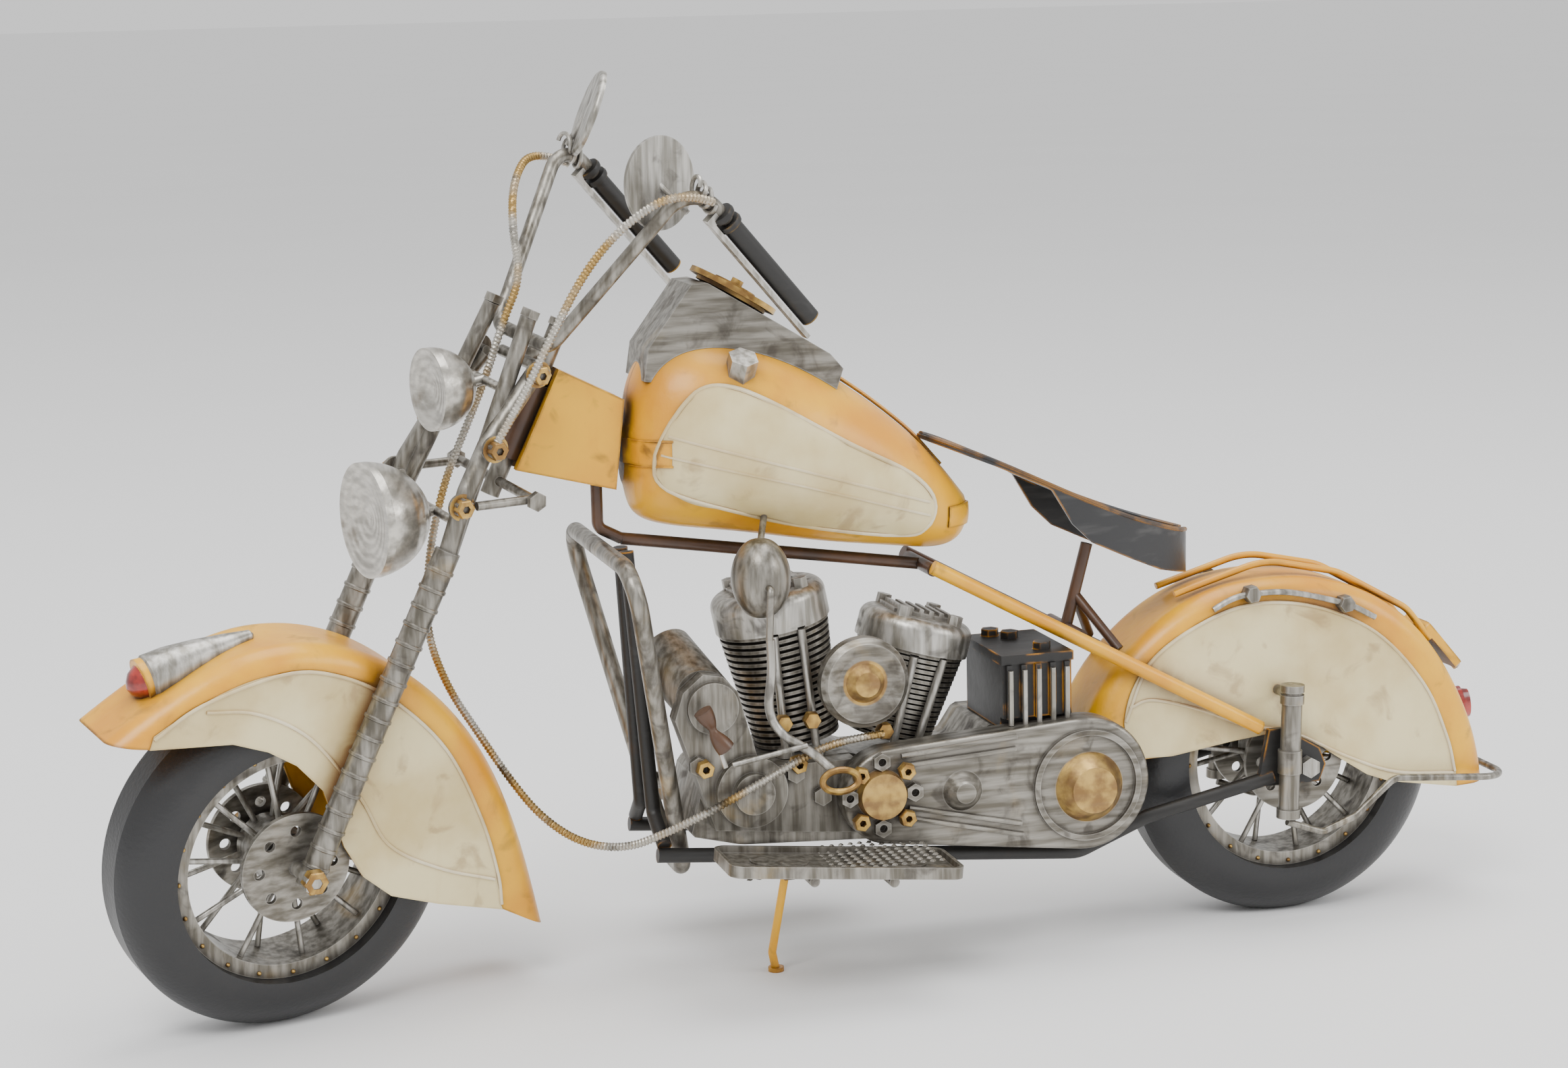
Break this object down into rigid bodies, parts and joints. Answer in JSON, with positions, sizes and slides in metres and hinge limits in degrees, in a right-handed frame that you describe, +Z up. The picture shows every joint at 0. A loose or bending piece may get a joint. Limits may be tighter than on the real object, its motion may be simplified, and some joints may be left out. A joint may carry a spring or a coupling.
{
  "type": "model motorcycle",
  "caption": "Handmade sheet-metal model motorcycle with V-twin engine, turning wheels, steering fork and folding kickstand.",
  "frame": {"origin": "on the ground in the mid-plane, midway between the two axles", "axes": "+X to the rear, +Y to the rider's right, +Z up"},
  "size_m": [0.4038, 0.106, 0.2466],
  "materials": {
    "tyre_black": "smooth satin black rubber",
    "silver_leaf": "silver brushed paint with brown and black patina",
    "brushed_silver": "brushed silver sheet",
    "amber_paint": "warm amber-yellow enamel with brown wash at its edges",
    "cream_paint": "cream enamel with brown smudges and brush streaks",
    "black_paint": "satin black paint worn at the edges",
    "rust_brown": "dark rust-brown patina",
    "gold_paint": "antique gold with brown patina",
    "grip_black": "black hand grip",
    "seat_black": "satin black sheet with faint streaks",
    "red_paint": "glossy deep red lamp paint",
    "cable_wire": "spirally wound wire, silver and bronze"
  },
  "bodies": {
    "frame": {"rear_axle": "brushed_silver", "rear_fender": "amber_paint", "rear_fender_panels": "cream_paint", "head_tube": "amber_paint", "neck_box": "amber_paint", "backbone": "rust_brown", "down_tubes": "black_paint", "bottom_rail_left": "black_paint", "bottom_rail_right": "black_paint", "upper_stay_left": "amber_paint", "upper_stay_right": "amber_paint", "seat_post": "rust_brown", "crash_bar": "silver_leaf", "tank_left": "amber_paint", "tank_right": "amber_paint", "tank_panels": "cream_paint", "tank_straps": "amber_paint", "dash": "brushed_silver", "gauge": "gold_paint", "filler_caps": "brushed_silver", "seat": "seat_black", "crankcase": "silver_leaf", "front_cylinder": "silver_leaf", "rear_cylinder": "silver_leaf", "rocker_boxes": "silver_leaf", "pushrods": "brushed_silver", "timing_case": "brushed_silver", "primary_cover": "silver_leaf", "air_horn": "brushed_silver", "oil_bottle": "silver_leaf", "battery_box": "black_paint", "floorboard_left": "silver_leaf", "floorboard_right": "silver_leaf", "rack": "amber_paint", "tail_lamp": "red_paint", "rear_rail": "silver_leaf", "shocks": "silver_leaf", "brake_cable": "cable_wire"},
    "front_fork": {"fork_leg_left": "silver_leaf", "fork_leg_right": "silver_leaf", "steering_stem": "brushed_silver", "handlebar": "silver_leaf", "grips": "grip_black", "levers": "silver_leaf", "mirrors": "silver_leaf", "headlamp": "brushed_silver", "spot_lamp": "brushed_silver", "front_fender": "amber_paint", "front_fender_panels": "cream_paint", "front_axle": "brushed_silver", "control_cables": "cable_wire"},
    "front_wheel": {"front_tyre": "tyre_black", "front_rim": "silver_leaf", "front_hub": "silver_leaf", "front_discs": "brushed_silver"},
    "rear_wheel": {"rear_tyre": "tyre_black", "rear_rim": "silver_leaf", "rear_hub": "silver_leaf", "rear_discs": "brushed_silver"},
    "kickstand_body": {"kickstand": "amber_paint"}
  },
  "joints": [
    {"name": "steering", "type": "hinge", "parent": "frame", "child": "front_fork", "pos_m": [-0.125, 0, 0.0465], "axis": [0.4239, 0, 0.9057], "range_deg": [-47.96, 12.04], "deforming": ["brake_cable"]},
    {"name": "front_wheel_spin", "type": "hinge", "parent": "front_fork", "child": "front_wheel", "pos_m": [-0.14394, -0.00559, 0.04669], "axis": [-0.2793, 0.9513, 0.1307], "continuous": true},
    {"name": "rear_wheel_spin", "type": "hinge", "parent": "frame", "child": "rear_wheel", "pos_m": [0.145, 0, 0.0465], "axis": [0, 1, 0], "continuous": true},
    {"name": "kickstand_fold", "type": "hinge", "parent": "frame", "child": "kickstand_body", "pos_m": [-0.0075, -0.0146, 0.0304], "axis": [0, 1, 0], "range_deg": [-78, 0]}
  ]
}
